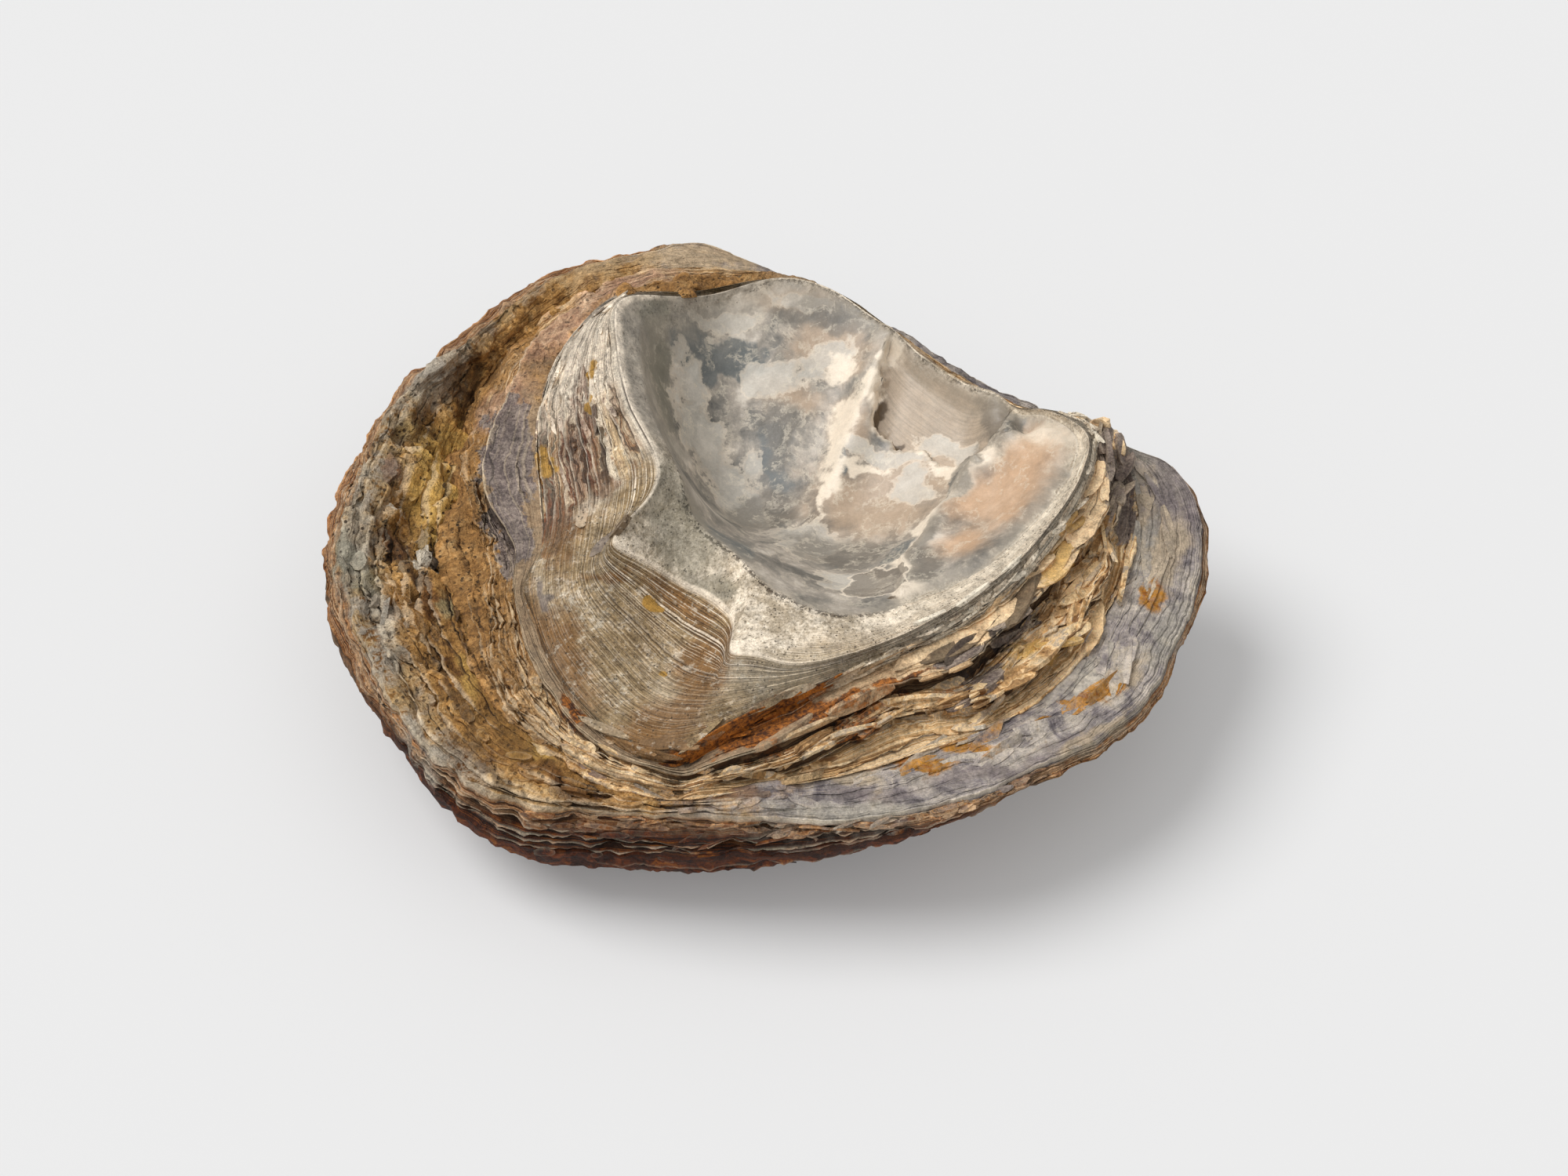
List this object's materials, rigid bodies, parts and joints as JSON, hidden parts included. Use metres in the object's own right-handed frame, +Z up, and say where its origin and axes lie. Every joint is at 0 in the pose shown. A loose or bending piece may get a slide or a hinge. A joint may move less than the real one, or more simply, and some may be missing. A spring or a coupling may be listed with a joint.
{
  "type": "fossil oyster",
  "caption": "Thick weathered oyster valve lying hollow side up: smooth bowl, hinge plate with ligament pit, broken growth plates and a crusted outer rim.",
  "frame": {"origin": "under the middle of the valve's outline, on the surface it rests on", "axes": "+X along the valve's length towards the thin right lobe, +Y towards the hump behind the bowl, +Z up out of the bowl"},
  "size_m": [0.1508, 0.1324, 0.0512],
  "materials": {
    "shell": "weathered shell turned to stone: smooth grey inside, brown and rough outside"
  },
  "bodies": {
    "root": {"oyster_valve": "shell"}
  },
  "joints": []
}
